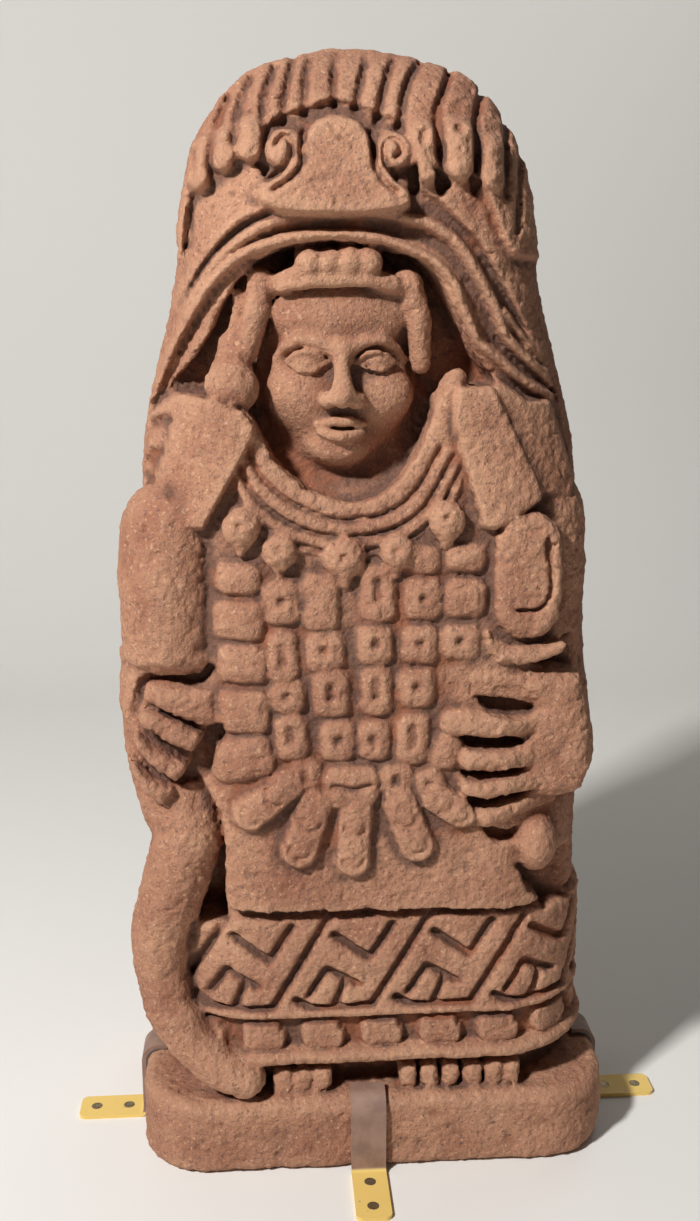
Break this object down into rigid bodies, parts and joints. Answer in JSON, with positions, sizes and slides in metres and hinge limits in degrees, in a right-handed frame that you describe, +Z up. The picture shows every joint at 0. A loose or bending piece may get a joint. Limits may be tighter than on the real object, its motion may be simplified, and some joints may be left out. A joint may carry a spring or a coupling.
{
  "type": "stone goddess statue",
  "caption": "Standing carved stone figure with a broad headdress, pectoral, patterned skirt and staff on a block base, held down by bent steel clips.",
  "frame": {"origin": "centre of the underside of the stone base block, on the surface it stands on", "axes": "+Z up; the figure faces -Y; the figure's left hand and the plain side are on +X, its staff is on -X"},
  "size_m": [0.461, 0.311, 0.786],
  "materials": {
    "volcanic_stone": "matt pitted stone with traces of red ochre",
    "painted_strap": "satin paint, the screwed foot in the plinth's ochre yellow",
    "felt": "dense wool felt"
  },
  "bodies": {
    "root": {"stone_figure": "volcanic_stone", "front_clip": "painted_strap", "front_liner": "felt", "rear_clip": "painted_strap", "rear_liner": "felt", "left_clip": "painted_strap", "left_liner": "felt", "right_clip": "painted_strap", "right_liner": "felt"}
  },
  "joints": []
}
